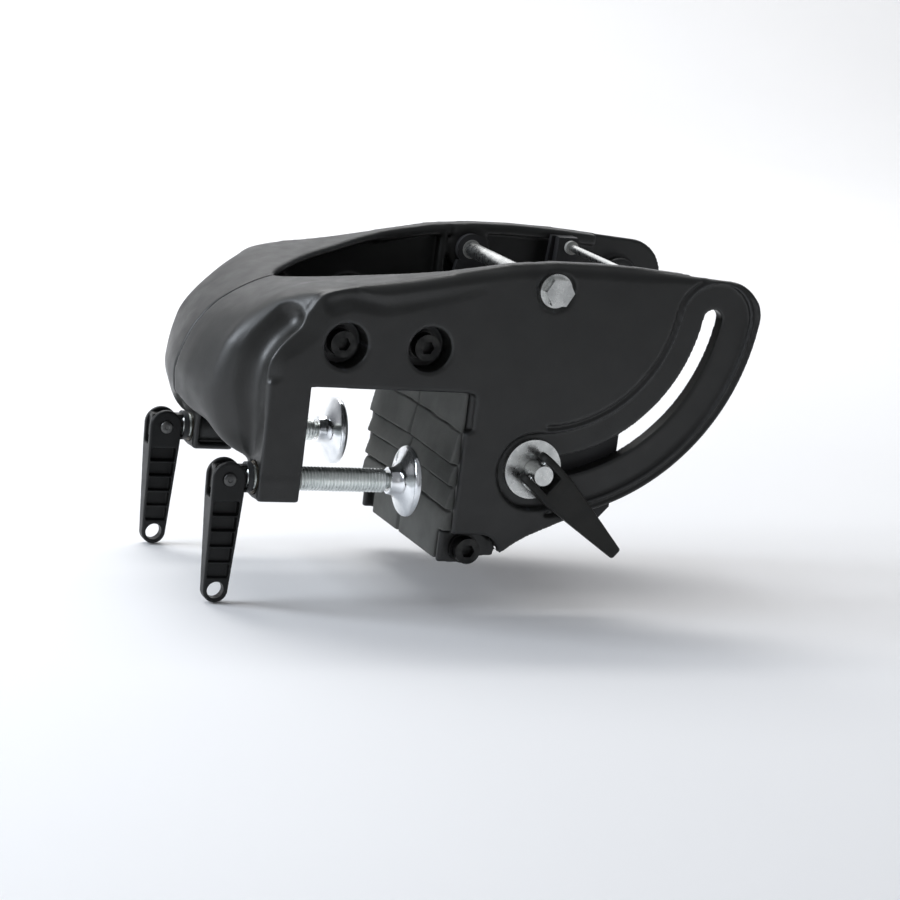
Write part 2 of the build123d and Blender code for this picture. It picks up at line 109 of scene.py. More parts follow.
# ---------------------------------------------------------------- distance-field helpers
def join(a, b, r=0.0):
    """Union of two fields, with a fillet of radius r where they meet."""
    if np.isscalar(r) and r <= 0:
        return np.minimum(a, b)
    return np.maximum(r, np.minimum(a, b)) - np.hypot(np.maximum(r - a, 0), np.maximum(r - b, 0))


def meet(a, b, r=0.0):
    """Intersection of two fields, with the edge rounded to radius r."""
    if np.isscalar(r) and r <= 0:
        return np.maximum(a, b)
    return np.minimum(-r, np.maximum(a, b)) + np.hypot(np.maximum(r + a, 0), np.maximum(r + b, 0))


def cut(a, b, r=0.0):
    """Field a without field b, with the cut's edge rounded to radius r."""
    return meet(a, -b, r)


def between(value, low, high):
    """Field of a slab from low to high."""
    return np.maximum(low - value, value - high)


def ease(value, low, high):
    """0 below low, 1 above high and smooth between."""
    t = np.clip((value - low) / (high - low), 0, 1)
    return t * t * (3 - 2 * t)


def box_field(x, y, z, low, high, r=0.0):
    """Field of a box with edges rounded to radius r."""
    parts = [
        np.abs(v - (a + b) / 2) - (b - a) / 2 + r for v, a, b in zip((x, y, z), low, high)
    ]
    outside = np.sqrt(sum(np.maximum(p, 0) ** 2 for p in parts))
    return outside + np.minimum(np.maximum(np.maximum(parts[0], parts[1]), parts[2]), 0) - r


def polygon_field(px, pz, points):
    """Signed distance to a closed polygon."""
    best = np.full(np.broadcast(px, pz).shape, 1e9, np.float32)
    inside = np.zeros(best.shape, bool)
    for (ax, az), (bx, bz) in zip(points, points[1:] + points[:1]):
        ex, ez = bx - ax, bz - az
        if ex * ex + ez * ez < 1e-9:
            continue
        wx, wz = px - ax, pz - az
        t = np.clip((wx * ex + wz * ez) / (ex * ex + ez * ez), 0, 1)
        best = np.minimum(best, (wx - ex * t) ** 2 + (wz - ez * t) ** 2)
        if ez:
            spans = (pz >= min(az, bz)) & (pz < max(az, bz))
            inside ^= spans & (px < ax + wz * ex / ez)
    best = np.sqrt(best)
    return np.where(inside, -best, best)


def through_points(points, steps=6):
    """A smooth open line through points, as more points."""
    p = np.array(points, float)
    p = np.vstack([2 * p[0] - p[1], p, 2 * p[-1] - p[-2]])
    line = []
    for k in range(1, len(p) - 2):
        a, b, c, d = p[k - 1 : k + 3]
        for t in np.linspace(0, 1, steps, endpoint=False):
            line.append(
                tuple(
                    0.5
                    * (
                        2 * b
                        + (c - a) * t
                        + (2 * a - 5 * b + 4 * c - d) * t**2
                        + (3 * b - 3 * c + d - a) * t**3
                    )
                )
            )
    line.append(tuple(p[-2]))
    return line


def polyline_field(x, z, points):
    """Distance to an open line in the XZ plane."""
    best = np.float32(1e9)
    for (ax, az), (bx, bz) in zip(points, points[1:]):
        run = (bx - ax) ** 2 + (bz - az) ** 2
        t = np.clip(((x - ax) * (bx - ax) + (z - az) * (bz - az)) / run, 0, 1)
        best = np.minimum(best, np.hypot(x - ax - (bx - ax) * t, z - az - (bz - az) * t))
    return best


def arc_band(x, z, radius, half_width, start, end):
    """Field of an arc-shaped slot about the pivot, with round ends; angles in degrees."""
    middle, half = math.radians((start + end) / 2), math.radians((end - start) / 2)
    dx, dz = x - PIVOT_X, z - PIVOT_Z
    turned = np.arctan2(
        dz * math.cos(middle) - dx * math.sin(middle), dx * math.cos(middle) + dz * math.sin(middle)
    )
    nearest = np.clip(turned, -half, half) + middle
    return np.hypot(dx - radius * np.cos(nearest), dz - radius * np.sin(nearest)) - half_width


def surface_net(field, origin, step):
    """Points and quads over the zero level of a field that is negative inside."""
    inside = field < 0
    cells_shape = np.array(field.shape) - 1
    strides = np.array([cells_shape[1] * cells_shape[2], cells_shape[2], 1])
    corners, crossings, quads = [], [], []
    for axis in range(3):
        low, high = [slice(None)] * 3, [slice(None)] * 3
        low[axis], high[axis] = slice(0, -1), slice(1, None)
        low, high = tuple(low), tuple(high)
        crossed = inside[low] != inside[high]
        index = np.argwhere(crossed)
        before, after = field[low][crossed], field[high][crossed]
        point = index.astype(float)
        point[:, axis] += before / (before - after)
        u, v = (axis + 1) % 3, (axis + 2) % 3
        ring = []
        for du, dv in ((0, 0), (1, 0), (1, 1), (0, 1)):
            cell = index.copy()
            cell[:, u] -= du
            cell[:, v] -= dv
            ring.append(cell @ strides)
            corners.append(ring[-1])
            crossings.append(point)
        quad = np.stack(ring, 1)
        backwards = before >= 0
        quad[backwards] = quad[backwards][:, ::-1]
        quads.append(quad)
    used, place = np.unique(np.concatenate(corners), return_inverse=True)
    place = place.reshape(-1)
    points = np.concatenate(crossings)
    count = np.bincount(place)
    verts = np.stack([np.bincount(place, points[:, k]) / count for k in range(3)], 1)
    faces = np.searchsorted(used, np.concatenate(quads))
    return verts * step + np.array(origin), faces


def grid(low, high, step):
    """Open coordinate arrays over a box, and its first corner."""
    axes = [np.arange(a, b + step, step, dtype=np.float32) for a, b in zip(low, high)]
    return (
        axes[0][:, None, None],
        axes[1][None, :, None],
        axes[2][None, None, :],
        [float(a[0]) for a in axes],
    )


# ---------------------------------------------------------------- objects
def add_object(name, verts, faces, material, smooth=True, sharp=None):
    """A mesh object from millimetre points."""
    mesh = bpy.data.meshes.new(name)
    mesh.from_pydata((np.asarray(verts, float) * MM).tolist(), [], [list(map(int, f)) for f in faces])
    mesh.validate()
    for polygon in mesh.polygons:
        polygon.use_smooth = smooth
    obj = bpy.data.objects.new(name, mesh)
    bpy.context.scene.collection.objects.link(obj)
    mesh.materials.append(material)
    if sharp is not None:
        mesh.set_sharp_from_angle(angle=math.radians(sharp))
    return obj


def place_piece(obj, node):
    """Stand a piece in for a CAD node, on that node's body."""
    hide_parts(node)
    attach(obj, nodes[node]["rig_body"])
    return obj


# ---------------------------------------------------------------- materials
class Nodes:
    """Short calls for building one material's node tree."""

    def __init__(self, name):
        self.material = bpy.data.materials.new(name)
        self.material.use_nodes = True
        self.tree = self.material.node_tree
        self.shader = self.tree.nodes["Principled BSDF"]
        self.coords = self.tree.nodes.new("ShaderNodeTexCoord").outputs["Object"]

    def link(self, output, target):
        self.tree.links.new(output, target)

    def noise(self, scale, detail=3.0, rough=0.5, stretch=None):
        node = self.tree.nodes.new("ShaderNodeTexNoise")
        node.inputs["Scale"].default_value = scale
        node.inputs["Detail"].default_value = detail
        node.inputs["Roughness"].default_value = rough
        source = self.coords
        if stretch:
            mapping = self.tree.nodes.new("ShaderNodeMapping")
            mapping.inputs["Scale"].default_value = stretch
            self.link(source, mapping.inputs["Vector"])
            source = mapping.outputs["Vector"]
        self.link(source, node.inputs["Vector"])
        return node.outputs["Fac"]

    def ranged(self, value, low, high, out_low, out_high):
        node = self.tree.nodes.new("ShaderNodeMapRange")
        for key, number in (
            ("From Min", low), ("From Max", high), ("To Min", out_low), ("To Max", out_high)
        ):
            node.inputs[key].default_value = number
        self.link(value, node.inputs["Value"])
        return node.outputs["Result"]

    def blend(self, factor, first, second):
        node = self.tree.nodes.new("ShaderNodeMix")
        node.data_type = "RGBA"
        self.link(factor, node.inputs[0])
        for socket, value in ((node.inputs[6], first), (node.inputs[7], second)):
            if isinstance(value, tuple):
                socket.default_value = (*value, 1.0)
            else:
                self.link(value, socket)
        return node.outputs[2]

    def pointiness(self):
        return self.tree.nodes.new("ShaderNodeNewGeometry").outputs["Pointiness"]

    def bump(self, height, strength, distance, under=None):
        node = self.tree.nodes.new("ShaderNodeBump")
        node.inputs["Strength"].default_value = strength
        node.inputs["Distance"].default_value = distance
        self.link(height, node.inputs["Height"])
        if under is not None:
            self.link(under, node.inputs["Normal"])
        return node.outputs["Normal"]


def moulded(name, dark, light, rough, grain=1500.0, grain_depth=0.00010, edge=None, spec=0.5):
    """Textured plastic or rubber: mottled colour, uneven gloss, fine grain and a painted highlight on
    convex edges.
    """
    m = Nodes(name)
    colour = m.blend(m.ranged(m.noise(55, 4), 0.35, 0.68, 0, 1), dark, light)
    # painted highlight: convex edges, found by pointiness, are coloured lighter
    if edge:
        colour = m.blend(m.ranged(m.pointiness(), 0.53, 0.62, 0, 0.55), colour, edge)
    m.link(colour, m.shader.inputs["Base Color"])
    gloss = m.ranged(m.noise(120, 5), 0.3, 0.7, rough - 0.05, rough + 0.07)
    m.link(gloss, m.shader.inputs["Roughness"])
    m.shader.inputs["Specular IOR Level"].default_value = spec
    fine = m.bump(m.noise(grain, 2), 0.55, grain_depth)
    m.link(m.bump(m.noise(70, 3), 0.25, 0.0003, fine), m.shader.inputs["Normal"])
    return m.material


def plated(name, dark, light, rough, lines=None):
    """Plated or turned metal with cloudy colour, fine scratches and uneven gloss."""
    m = Nodes(name)
    m.shader.inputs["Metallic"].default_value = 1.0
    m.link(
        m.blend(m.ranged(m.noise(160, 5), 0.35, 0.65, 0, 1), dark, light),
        m.shader.inputs["Base Color"],
    )
    m.link(
        m.ranged(m.noise(420, 4, 0.6), 0.3, 0.7, rough - 0.06, rough + 0.1),
        m.shader.inputs["Roughness"],
    )
    scratches = m.noise(260, 6, 0.7, lines or (1, 1, 9))
    m.link(m.bump(scratches, 0.25, 0.00012), m.shader.inputs["Normal"])
    return m.material


# each edge colour below is the painted highlight on that material's convex edges
body_plastic = moulded(
    "body_plastic", (0.0095, 0.0098, 0.0090), (0.0135, 0.0138, 0.0128), 0.40, edge=(0.045, 0.049, 0.057),
    spec=0.55,
)
handle_plastic = moulded(
    "handle_plastic", (0.0075, 0.0080, 0.0080), (0.0120, 0.0125, 0.0125), 0.40, grain=1900,
    edge=(0.05, 0.052, 0.054), spec=0.25,
)
lever_plastic = moulded(
    "lever_plastic", (0.013, 0.013, 0.012), (0.019, 0.019, 0.017), 0.45, grain=1700,
    edge=(0.04, 0.04, 0.04), spec=0.25,
)
pad_rubber = moulded(
    "pad_rubber", (0.125, 0.129, 0.122), (0.165, 0.168, 0.160), 0.80, grain=900, grain_depth=0.00016,
    edge=(0.13, 0.13, 0.13), spec=0.15,
)
zinc_steel = plated("zinc_steel", (0.55, 0.56, 0.55), (0.78, 0.79, 0.77), 0.28)
chrome = plated("disc_chrome", (0.72, 0.75, 0.78), (0.90, 0.92, 0.94), 0.14, lines=(2, 2, 2))
screw_steel = plated("screw_steel", (0.78, 0.82, 0.80), (0.92, 0.95, 0.93), 0.36)
rivet_steel = plated("rivet_steel", (0.070, 0.070, 0.070), (0.160, 0.160, 0.155), 0.36)
dark_steel = plated("dark_steel", (0.022, 0.022, 0.022), (0.050, 0.050, 0.048), 0.38)
bush_metal = plated("bush_metal", (0.060, 0.050, 0.036), (0.110, 0.090, 0.062), 0.42)
bush_plastic = moulded("bush_plastic", (0.25, 0.25, 0.24), (0.34, 0.34, 0.32), 0.5, grain=1200)
yoke_paint = moulded(
    "yoke_paint", (0.012, 0.012, 0.0125), (0.019, 0.019, 0.020), 0.36, grain=700, grain_depth=0.00006,
    edge=(0.05, 0.05, 0.052), spec=0.25,
)


# ---------------------------------------------------------------- the moulded half
# Profiles of the nose and deck at distances from the middle plane. Each runs from the aft end of
# the deck, over the dome, down the front and under it to the mouth, through the same 14 stations.
NOSE_PROFILES = (
    (0, ((31, 62), (-2, 57.5), (-38, 51.2), (-66, 46), (-82, 42.6), (-95, 37.4), (-108.5, 29),
         (-116.8, 20), (-121.6, 12), (-126.4, -1), (-127.2, -10), (-124.8, -18.2), (-112, -15.5),
         (-79, -4))),
    (12, ((31, 62.3), (-2, 57.8), (-38, 51.5), (-66, 46.3), (-82, 43), (-95, 37.8), (-108.2, 29.2),
          (-116.3, 20), (-121.2, 12), (-125.9, -1), (-126.4, -11), (-121, -23.5), (-110, -20), (-79, -4))),
    (24, ((31, 63), (-2, 58.5), (-38, 52), (-66, 47), (-81.5, 43.8), (-94.3, 38.5), (-107, 29.7),
          (-114.9, 20), (-119.6, 12), (-123.6, -1), (-124, -12), (-116, -26), (-107, -24), (-79, -5))),
    (34, ((31, 63.6), (-2, 59), (-37, 52.7), (-66, 47.8), (-81, 44.8), (-93.5, 39.5), (-105.8, 30),
          (-113.6, 20), (-117.7, 12), (-121, -1), (-121, -12), (-113.5, -31), (-103, -33), (-79, -10))),
    (40, ((31, 64), (-2, 59.4), (-36, 53.1), (-66, 48.3), (-80.5, 45.6), (-92.8, 40.3), (-104.8, 30.3),
          (-113.5, 20), (-116.8, 12), (-119, -1), (-117.8, -12), (-110.5, -31), (-101, -38), (-79, -24))),
    (45, ((31, 64.4), (-2, 59.7), (-36, 53.4), (-65, 48.8), (-80, 46), (-91, 40.3), (-101.5, 29.5),
          (-108.5, 20), (-111.5, 12), (-112.8, 0), (-112, -11), (-105.5, -28), (-98, -40), (-79, -34))),
    (51, ((31, 64.6), (-2, 59.9), (-36, 53.5), (-65, 49), (-79, 46), (-87.5, 39), (-96.5, 28),
          (-101.5, 20), (-104.5, 12), (-105.8, 0), (-105, -12), (-99.5, -32), (-97.4, -41), (-79, -38))),
    (56, ((31, 64.6), (-2, 59.9), (-36, 53.5), (-64, 49), (-77.5, 45.5), (-84.5, 37), (-91, 28),
          (-97, 19.5), (-101, 12), (-101, 0), (-99.8, -12), (-96, -33), (-96, -41), (-79, -40))),
    (59, ((31, 64.8), (-2, 60), (-36, 53.6), (-62, 49), (-76, 44.5), (-82, 36.5), (-87, 28.2),
          (-95.3, 19.9), (-100.4, 12.1), (-99.7, 0), (-98.2, -12), (-94.7, -34), (-94.6, -42), (-79, -42))),
    (62, ((31, 65), (-2, 60), (-36, 53.6), (-60, 47), (-70, 41), (-74.5, 33), (-77.8, 26),
          (-84.5, 19.5), (-93.6, 12.6), (-94, 0), (-93.3, -12), (-92.5, -34), (-92.5, -42), (-79, -42))),
)
CRISP_FROM = 57.0
VALLEY_LINE = ((-93, 33), (-100, 26), (-105, 18.5), (-108, 11), (-109.5, 0), (-108.7, -12), (-105, -26),
               (-102, -38))
VALLEY_DEPTH, VALLEY_R = 55.0, 8.2


def nose_field(x, depth, z):
    """Field of the filled nose and deck, from profiles blended across the width."""
    places = np.array([p for p, _ in NOSE_PROFILES], float)
    stations = np.array([points for _, points in NOSE_PROFILES], float)
    layers = []
    px, pz = x[:, 0, :], z[:, 0, :]
    for d in depth[0, :, 0]:
        spread = 0.0 if d > CRISP_FROM else 3.0
        mixed = np.zeros(stations.shape[1:])
        samples = np.linspace(-spread, spread, 7)
        for s in samples:
            at = min(abs(float(d) + s), HALF_WIDTH)
            for k in range(stations.shape[1]):
                for c in range(2):
                    mixed[k, c] += np.interp(at, places, stations[:, k, c]) / len(samples)
        loop = through_points(mixed) + [(-MOUTH, 0.0), (31.0, 0.0)]
        layers.append(polygon_field(px, pz, loop))
    field = np.stack(layers, 1).astype(np.float32)
    slope = np.gradient(field, float(depth[0, 1, 0] - depth[0, 0, 0]), axis=1)
    return field / np.sqrt(1 + slope**2)


def rail_top(x):
    """Height of the side plate's top edge."""
    return np.interp(x[:, 0, 0],
                     (-88, -60, -30, -5, 20, 43, 66, 90, 112, 159),
                     (47, 50.3, 54.4, 59.3, 64.4, 66.5, 66.85, 66.0, 64.3, 60.9))[:, None, None]


def half_shell_mesh(step):
    """One moulded half as points (x, distance from the middle plane, z) and quads."""
    x, depth, z, origin = grid((-131, -2.0, -91), (162, 65, 71), step)
    circle = np.hypot(x - PIVOT_X, z - PIVOT_Z) - RIM_R
    top_edge = (z - rail_top(x) + 0.25) * 0.985

    # side plate outline
    plate = meet(circle, top_edge, 18.0)
    foot_slope = (22.0, FOOT_Z), (55.1, -62.4)
    run = math.hypot(foot_slope[1][0] - 22.0, foot_slope[1][1] - FOOT_Z)
    slope_side = ((x - 22.0) * (foot_slope[1][1] - FOOT_Z) - (z - FOOT_Z) * (55.1 - 22.0)) / run
    foot = meet(slope_side, FOOT_Z - z, 9.0)
    foot = np.maximum(foot, np.maximum(between(x, -5.0, 60.0), z))
    plate = join(plate, foot, 14.0)
    front_edge = 4.0 + 4.0 * ease(z, -20.5, -18.0)
    allowed = join(front_edge - x, np.maximum(-60.0 - x, -z), 3.5)
    plate = np.maximum(plate, FOOT_Z - z)
    plate = meet(plate, allowed, 1.0)

    # nose and deck as a hollow shell, then the side plate
    front = x[:, 0, 0] < 36
    nose = np.full(np.broadcast_shapes(x.shape, depth.shape, z.shape), 60.0, np.float32)
    nose[front] = nose_field(x[front], depth, z)
    valley = np.hypot(polyline_field(x, z, through_points(VALLEY_LINE, 4)), depth - VALLEY_DEPTH)
    nose = cut(nose, valley - VALLEY_R, 2.0)
    top_band = ease(z - rail_top(x), -13, -5)
    edge_round = 1.0 + 6.0 * top_band * (1 - 0.55 * ease(x, 80, 118)) * ease(x, -75, -50)
    edge_round = np.maximum(edge_round, 2.4 * ease(circle, -12, -5) * ease(x, 50, 62))
    side = depth - HALF_WIDTH
    outer_nose = meet(nose, side, edge_round)
    hollow = np.maximum(nose + SKIN, depth - (HALF_WIDTH - WALL))
    shell = cut(outer_nose, hollow, 0.5)
    outer_plate = meet(plate, side, edge_round)
    shell = join(shell, np.maximum(outer_plate, HALF_WIDTH - WALL - depth), 0.8)

    # the top flange's inner lip, fading out aft
    lip = meet(np.maximum(plate, rail_top(x) - 6.0 - z), between(depth, FLANGE_Y, 58.0), 1.2)
    lip = np.maximum(lip, between(x, -9.0, 116.0))
    shell = join(shell, lip, 1.5)

    # walls behind the pad, foot and bay
    shell = join(shell, box_field(x, depth, z, (6, -5, FOOT_Z), (10, 58, 4), 0.6), 1.0)
    shell = join(shell, box_field(x, depth, z, (6, -5, FOOT_Z), (22, 58, -83.5), 0.6), 1.0)
    shell = join(shell, box_field(x, depth, z, (20, -5, -84), (31, 58, -80), 0.6), 1.0)
    shell = join(shell, box_field(x, depth, z, (28, -5, -80), (31, 58, 30), 0.6), 1.0)
    bay_cut = box_field(x, depth, z, (16, -10, 30), (40, 44, 80), 3.0)
    shell = cut(shell, bay_cut, 0.8)

    # clamp arm, hollowed on its inner side around the screw's boss
    arm = box_field(x, depth, z, (BOSS_FRONT, ARM_INNER_Y, BOSS_BOTTOM), (BOSS_REAR, 66, 2), 1.6)
    shell = np.maximum(join(shell, arm, 3.0), side)
    hollow = (BOSS_FRONT + 3, ARM_INNER_Y - 5, BOSS_BOTTOM + 3), (BOSS_REAR - 3, 47, -12)
    shell = cut(shell, box_field(x, depth, z, *hollow, 1.0), 0.8)
    boss = np.hypot(depth - SCREW_Y, z - SCREW_Z) - BOSS_R
    shell = join(shell, np.maximum(boss, between(x, BOSS_FRONT + 0.4, BOSS_REAR - 0.4)), 1.0)
    shell = cut(shell, np.maximum(between(x, BOSS_REAR, 3.0), between(z, -60.0, 0.0)), 0.8)

    # tubes for the tie bolts, pivot boss and slot collar
    inside = between(depth, -5.0, 58.0)
    for bolt_x, bolt_z in TIE_BOLTS[:2]:
        tube = np.hypot(x - bolt_x, z - bolt_z) - TUBE_R
        shell = join(shell, np.maximum(tube, inside), 1.2)
    tube = np.hypot(x - TIE_BOLTS[2][0], z - TIE_BOLTS[2][1]) - FOOT_TUBE_R
    shell = join(shell, np.maximum(tube, inside), 0.8)
    inner_ring = between(depth, FLANGE_Y, 58.0)
    pivot_boss = np.hypot(x - PIVOT_X, z - PIVOT_Z) - 12.0
    shell = join(shell, meet(pivot_boss, inner_ring, 1.0), 1.2)
    collar = arc_band(x, z, SLOT_R, SLOT_HALF + 5.0, SLOT_LOW, SLOT_HIGH)
    shell = join(shell, meet(np.maximum(collar, plate), inner_ring, 1.0), 1.2)

    # the pointed top opening
    outline = through_points([(-81, -4), (-78.5, 6), (-68, 17), (-56, 26.5), (-38, 36.5), (-24, 44),
                              (-10, 49.3), (2, FLANGE_Y)], 5)
    outline = outline + [(60.0, FLANGE_Y), (60.0, -12.0), (-81.0, -12.0)]
    flat = polygon_field(x[:, :, 0], depth[:, :, 0], outline)[:, :, None]
    flat = np.maximum(flat, x - 33.0)
    shell = cut(shell, np.maximum(flat, 36.0 - z), 2.2)

    # groove under the rail
    centre = through_points([(-72, 41.5), (-63, 44.2), (-52, 42.6), (-42, 42.0), (-20, 46.5), (4, 52.5)], 4)
    groove = np.float32(1e9)
    for k, ((ax, az), (bx, bz)) in enumerate(zip(centre, centre[1:])):
        share = k / (len(centre) - 2)
        length = math.hypot(bx - ax, bz - az)
        t = np.clip(((x - ax) * (bx - ax) + (z - az) * (bz - az)) / length**2, 0, 1)
        reach = np.hypot(x - ax - (bx - ax) * t, z - az - (bz - az) * t)
        standoff = HALF_WIDTH + 3.4 + 3.2 * share
        groove = np.minimum(groove, np.hypot(reach, np.maximum(standoff - depth, 0)))
    shell = cut(shell, groove - 6.3, 1.2)

    # arc channel with its double-edged rim, and the slot
    channel = arc_band(x, z, CHANNEL_R, CHANNEL_HALF, SLOT_LOW, SLOT_HIGH)
    shell = cut(shell, np.maximum(channel, HALF_WIDTH - CHANNEL_DEPTH - depth), 0.8)
    rim = arc_band(x, z, CHANNEL_R, CHANNEL_HALF + 2.8, SLOT_LOW, SLOT_HIGH)
    rim_line = np.maximum(np.abs(rim) - 1.0, HALF_WIDTH - 1.4 - depth)
    rim_line = np.maximum(rim_line, 30.0 - np.hypot(x - 30.0, z + 40.0))
    shell = cut(shell, rim_line, 0.3)
    slot = arc_band(x, z, SLOT_R, SLOT_HALF, SLOT_LOW, SLOT_HIGH)
    shell = cut(shell, np.maximum(slot, 45.0 - depth), 0.7)

    # bolt seats
    pivot_seat = np.maximum(np.hypot(x - PIVOT_X, z - PIVOT_Z) - 10.0, HALF_WIDTH - 1.5 - depth)
    shell = cut(shell, pivot_seat, 0.6)
    for bolt_x, bolt_z in TIE_BOLTS[:2]:
        seat = np.maximum(np.hypot(x - bolt_x, z - bolt_z) - COUNTERBORE_R, 50.0 - depth)
        shell = cut(shell, seat, 1.0)

    # rounded pocket in the foot, open to the side, for the lowest tie bolt
    pocket_box = (-19, -12, FOOT_POCKET_TOP - 29.6), (31, 12, FOOT_POCKET_TOP)
    pocket = box_field(x, 0 * z, z, *pocket_box, 12.0)
    floor = meet(np.maximum(plate, pocket), between(depth, 50.0, 57.5), 0.4)
    shell = join(shell, floor, 0.8)
    shell = cut(shell, np.maximum(pocket, FOOT_POCKET_FLOOR - depth), 0.9)

    # screw bore, pad relief and the holes for the tie bolts
    bore = np.hypot(depth - SCREW_Y, z - SCREW_Z) - SCREW_BORE_R
    shell = cut(shell, np.maximum(bore, x + 70.0), 0.6)
    shell = np.maximum(shell, -box_field(x, depth, z, (-0.4, -9, PAD_BOTTOM - 9), (6, 57, 0.4)))
    toe = (1, 50, FOOT_Z), (8.5, FOOT_POCKET_FLOOR, FOOT_POCKET_TOP)
    shell = join(shell, box_field(x, depth, z, *toe, 0.5))
    for bolt_x, bolt_z in TIE_BOLTS:
        shell = np.maximum(shell, BOLT_HOLE_R - np.hypot(x - bolt_x, z - bolt_z))

    # the parting line along the middle plane
    shell = meet(shell, 0.03 - depth, 1.2)
    return surface_net(np.ascontiguousarray(shell, np.float32), origin, step)


shell_points, shell_quads = half_shell_mesh(SHELL_STEP)
for side_name, side in SIDES.items():
    points = shell_points * np.array([1, side, 1])
    quads = shell_quads if side > 0 else shell_quads[:, ::-1]
    piece = add_object(f"{side_name}_moulded_half", points, quads, body_plastic)
    place_piece(piece, f"{side_name}_half_shell")


# ---------------------------------------------------------------- rubber pads
def pad_mesh(step, corner_y, corner_z):
    """One pad: a sunk upper band, shingled bands and a plain foot with its outer corner cut away."""
    x, depth, z, origin = grid((-1.5, -1.5, PAD_BOTTOM - 2), (PAD_THICK + 1.5, PAD_HALF + 2, 1.5), step)
    level = z + 1.4 * depth / PAD_HALF
    face = np.where(level > -18.5, 3.6, 0.0)
    for low, high in ((-35.5, -18.5), (-46.5, -35.5), (-58.5, -46.5)):
        share = np.clip((level - low) / (high - low), 0, 1)
        inside = (level > low) & (level <= high)
        face = np.where(inside, 0.2 + 3.2 * share**1.15, face)
    face = np.where(level <= -58.5, 3.2 * np.exp((level + 58.5) / 2.6), face)
    for lip in (-18.5, -35.5, -46.5, -58.5):
        face = np.maximum(face, 4.6 * np.exp(-(((level - lip + 0.7) / 0.75) ** 2)))
    crease = 3.4 * np.clip(1 - depth / 2.4, 0, 1)
    pad = box_field(x, depth, z, (0, -6, PAD_BOTTOM), (PAD_THICK, PAD_HALF, PAD_TOP), 0.9)
    pad = meet(pad, (np.maximum(face, crease) - x) * 0.8, 0.4)
    corner = box_field(x, depth, z, (-9, corner_y, PAD_BOTTOM - 20), (15, 80, corner_z), 3.0)
    pad = cut(pad, corner, 0.8)
    pad = np.maximum(pad, FOOT_TUBE_R - np.hypot(x - TIE_BOLTS[2][0], z - TIE_BOLTS[2][1]))
    pad = meet(pad, 0.25 - depth, 0.5)
    return surface_net(np.ascontiguousarray(pad, np.float32), origin, step)


PAD_CORNERS = {"port": (49.6, -70.8), "starboard": (35.5, -69.0)}
for side_name, side in SIDES.items():
    points, quads = pad_mesh(0.6, *PAD_CORNERS[side_name])
    quads = quads if side > 0 else quads[:, ::-1]
    piece = add_object(f"{side_name}_ribbed_pad", points * np.array([1, side, 1]), quads, pad_rubber)
    place_piece(piece, f"{side_name}_pad")


# ---------------------------------------------------------------- clamp screws
def ring_mesh(name, rings, material, sharp):
    """A closed piece about X from (x, radii around the ring) pairs."""
    around = len(rings[0][1])
    angles = 2 * np.pi * np.arange(around) / around
    verts = []
    for px, radii in rings:
        verts += list(zip([px] * around, radii * np.cos(angles), radii * np.sin(angles)))
    faces = []
    for row in range(len(rings) - 1):
        for k in range(around):
            a, b = row * around + k, row * around + (k + 1) % around
            faces.append((a, b, b + around, a + around))
    faces.append(tuple(reversed(range(around))))
    faces.append(tuple((len(rings) - 1) * around + k for k in range(around)))
    return add_object(name, verts, faces, material, sharp=sharp)


def turned(name, profile, material, around=72):
    """A turned piece about X from (x, radius) points, closed at both ends."""
    return ring_mesh(name, [(px, np.full(around, radius)) for px, radius in profile], material, 35)


def move(obj, x=0.0, y=0.0, z=0.0):
    """Shift a piece's mesh, in millimetres."""
    obj.data.transform(Matrix.Translation((x * MM, y * MM, z * MM)))
    return obj


DISC_PROFILE = (
    (-5.2, 0.05), (-5.2, 5.0), (-5.6, 5.3), (-11.5, 5.4), (-11.6, 5.7), (-11.6, 6.3), (-11.3, 6.7),
    (-10.2, 6.85), (-8.8, 7.1), (-7.6, 7.7), (-6.5, 8.8), (-5.5, 10.4), (-4.6, 12.4), (-3.9, 14.4),
    (-3.3, 16.0), (-2.8, 16.9), (-2.2, 17.35), (-1.6, 17.49), (-0.8, 17.45), (-0.3, 17.2), (0.0, 16.7),
    (0.0, 12.0), (-0.5, 11.4), (-0.5, 4.5), (0.0, 4.0), (0.0, 0.05),
)


def pressure_disc(name, side):
    """Domed disc with a rolled rim and a shallow dished face, open behind for the ball end."""
    return move(turned(name, DISC_PROFILE, chrome, 96), DISC_FACE, side * SCREW_Y, SCREW_Z)


def threaded_spindle(name, side):
    """Spindle with a rolled thread, a ball end and a flat drilled tang."""
    around = 40
    angles = 2 * np.pi * np.arange(around) / around
    start, end = -103.0, DISC_FACE - 14.4
    threaded = []
    for px in np.arange(start, end, THREAD_PITCH / 9):
        fade = min(1.0, (px - start) / 2.0, (end - px) / 2.0)
        phase = (px / THREAD_PITCH - angles / (2 * np.pi)) % 1.0
        tooth = np.minimum(1.0, np.abs(2 * phase - 1) * 1.35)
        threaded.append((px, THREAD_R - 0.05 - 0.85 * fade * (1 - tooth)))
    neck = [(end, 5.9), (end + 1.0, 5.2), (end + 1.5, 3.7), (DISC_FACE - 10.4, 3.7)]
    for k in range(9):
        angle = math.radians(-58 + 13 * k)
        neck.append((DISC_FACE - 7.4 + BALL_R * math.sin(angle), BALL_R * math.cos(angle)))
    neck = [point for point in neck if point[0] <= DISC_FACE - 5.6] + [(DISC_FACE - 5.6, 0.05)]
    front = [(-104.0, 0.05), (-104.0, 5.0), (-103.6, 5.4)]
    plain_front = [(px, np.full(around, radius)) for px, radius in front]
    plain_neck = [(px, np.full(around, radius)) for px, radius in neck]
    obj = ring_mesh(name, plain_front + threaded + plain_neck, screw_steel, 50)
    join_objects(obj, tang_mesh(name + "_tang"))
    return move(obj, 0.0, side * SCREW_Y, SCREW_Z)


